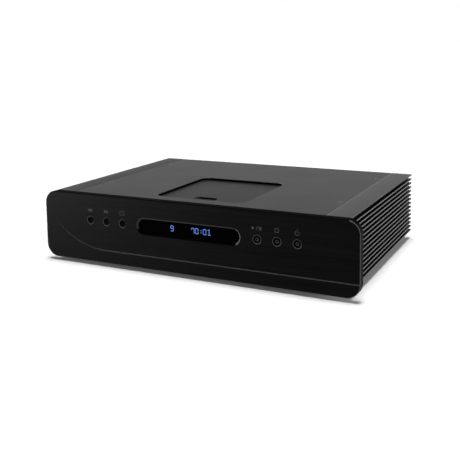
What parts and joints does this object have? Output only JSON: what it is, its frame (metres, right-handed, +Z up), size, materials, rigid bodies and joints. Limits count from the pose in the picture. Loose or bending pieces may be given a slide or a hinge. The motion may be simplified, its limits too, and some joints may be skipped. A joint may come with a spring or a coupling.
{
  "type": "compact disc player",
  "caption": "Wide, low disc player with finned side extrusions, a round-cornered thick faceplate, push buttons, a long display window and a sliding lid over the disc well.",
  "frame": {"origin": "on the surface that the player stands on, under the middle of its box", "axes": "+X to the right as seen from the front, along the width; +Y from front to back; +Z up"},
  "size_m": [0.44, 0.309, 0.095],
  "materials": {
    "black_anodised": "black anodised, brushed",
    "dark_anodised": "black anodised, bead blasted",
    "black_painted_steel": "fine textured black paint",
    "zinc_plated_steel": "zinc plated",
    "gold_plated_brass": "polished plating",
    "black_plastic": "fine moulded texture",
    "white_plastic": "moulded, unpainted",
    "smoked_acrylic": "polished, nearly black",
    "display_glass": "dark glass tube",
    "circuit_board": "green solder mask",
    "black_rubber": "matt rubber",
    "wound_core": "taped copper winding on a steel core",
    "lens_glass": "coated lens in a plastic holder"
  },
  "bodies": {
    "case": {"faceplate": "black_anodised", "cover_screw_front_left": "black_anodised", "cover_screw_front_right": "black_anodised", "cover_screw_rear_left": "black_anodised", "cover_screw_rear_right": "black_anodised", "top_cover": "dark_anodised", "left_heatsink": "dark_anodised", "right_heatsink": "dark_anodised", "base_tray": "black_painted_steel", "rear_panel": "black_painted_steel", "transport_deck": "zinc_plated_steel", "transport_bridge": "zinc_plated_steel", "guide_rod_front": "zinc_plated_steel", "guide_rod_rear": "zinc_plated_steel", "spindle_motor": "zinc_plated_steel", "feed_motor": "zinc_plated_steel", "transformer_bolt": "zinc_plated_steel", "analog_output_left": "gold_plated_brass", "analog_output_right": "gold_plated_brass", "digital_output_coax": "gold_plated_brass", "left_lid_guide": "black_plastic", "right_lid_guide": "black_plastic", "disc_well": "black_plastic", "mains_inlet": "black_plastic", "power_switch_frame": "black_plastic", "digital_output_optical": "black_plastic", "filter_capacitor_1": "black_plastic", "filter_capacitor_2": "black_plastic", "filter_capacitor_3": "black_plastic", "filter_capacitor_4": "black_plastic", "display_window": "smoked_acrylic", "display_panel": "display_glass", "front_board": "circuit_board", "main_board": "circuit_board", "power_supply_board": "circuit_board", "foot_front_left": "black_rubber", "foot_front_right": "black_rubber", "foot_rear_left": "black_rubber", "foot_rear_right": "black_rubber", "damper_front_left": "black_rubber", "damper_front_right": "black_rubber", "damper_rear_left": "black_rubber", "damper_rear_right": "black_rubber", "toroidal_transformer": "wound_core"},
    "lid": {"disc_lid": "dark_anodised"},
    "spindle": {"spindle_hub": "black_plastic", "clamp_puck": "black_anodised"},
    "sled": {"pickup_sled": "black_plastic"},
    "lens": {"objective_lens": "lens_glass"},
    "feed_gear": {"feed_gear": "white_plastic"},
    "motor_pinion": {"motor_pinion": "gold_plated_brass"},
    "button_previous": {"button_previous": "black_anodised"},
    "button_next": {"button_next": "black_anodised"},
    "button_repeat": {"button_repeat": "black_anodised"},
    "button_play_pause": {"button_play_pause": "black_anodised"},
    "button_stop": {"button_stop": "black_anodised"},
    "button_standby": {"button_standby": "black_anodised"},
    "rocker": {"power_rocker": "black_plastic"}
  },
  "joints": [
    {"name": "lid_slide", "type": "slide", "parent": "case", "child": "lid", "axis": [0, 1, 0], "range_m": [0, 0.125]},
    {"name": "spindle_spin", "type": "hinge", "parent": "case", "child": "spindle", "pos_m": [0, -0.064, 0.0777], "axis": [0, 0, 1], "continuous": true},
    {"name": "feed_gear_spin", "type": "hinge", "parent": "case", "child": "feed_gear", "pos_m": [0.036, -0.0957, 0.0585], "axis": [0, 0, -1], "range_deg": [0, 390]},
    {"name": "sled_slide", "type": "slide", "parent": "case", "child": "sled", "axis": [1, 0, 0], "range_m": [0, 0.034]},
    {"name": "motor_pinion_spin", "type": "hinge", "parent": "case", "child": "motor_pinion", "pos_m": [0.051, -0.0957, 0.0585], "axis": [0, 0, 1], "range_deg": [0, 1559]},
    {"name": "lens_focus", "type": "slide", "parent": "sled", "child": "lens", "axis": [0, 0, 1], "range_m": [-0.0006, 0.0006], "stiffness_N_per_m": 60, "springref_m": 0.00013},
    {"name": "button_previous_press", "type": "slide", "parent": "case", "child": "button_previous", "axis": [0, 1, 0], "range_m": [0, 0.001], "stiffness_N_per_m": 1500, "springref_m": -0.0004},
    {"name": "button_next_press", "type": "slide", "parent": "case", "child": "button_next", "axis": [0, 1, 0], "range_m": [0, 0.001], "stiffness_N_per_m": 1500, "springref_m": -0.0004},
    {"name": "button_repeat_press", "type": "slide", "parent": "case", "child": "button_repeat", "axis": [0, 1, 0], "range_m": [0, 0.001], "stiffness_N_per_m": 1500, "springref_m": -0.0004},
    {"name": "button_play_pause_press", "type": "slide", "parent": "case", "child": "button_play_pause", "axis": [0, 1, 0], "range_m": [0, 0.001], "stiffness_N_per_m": 1500, "springref_m": -0.0004},
    {"name": "button_stop_press", "type": "slide", "parent": "case", "child": "button_stop", "axis": [0, 1, 0], "range_m": [0, 0.001], "stiffness_N_per_m": 1500, "springref_m": -0.0004},
    {"name": "button_standby_press", "type": "slide", "parent": "case", "child": "button_standby", "axis": [0, 1, 0], "range_m": [0, 0.001], "stiffness_N_per_m": 1500, "springref_m": -0.0004},
    {"name": "rocker_tilt", "type": "hinge", "parent": "case", "child": "rocker", "pos_m": [-0.098, 0.1438, 0.042], "axis": [1, 0, 0], "range_deg": [0, 20]}
  ],
  "couplings": [
    {"joint": "feed_gear_spin", "follows": "sled_slide", "rad_per_m": 200},
    {"joint": "motor_pinion_spin", "follows": "sled_slide", "rad_per_m": 800}
  ]
}
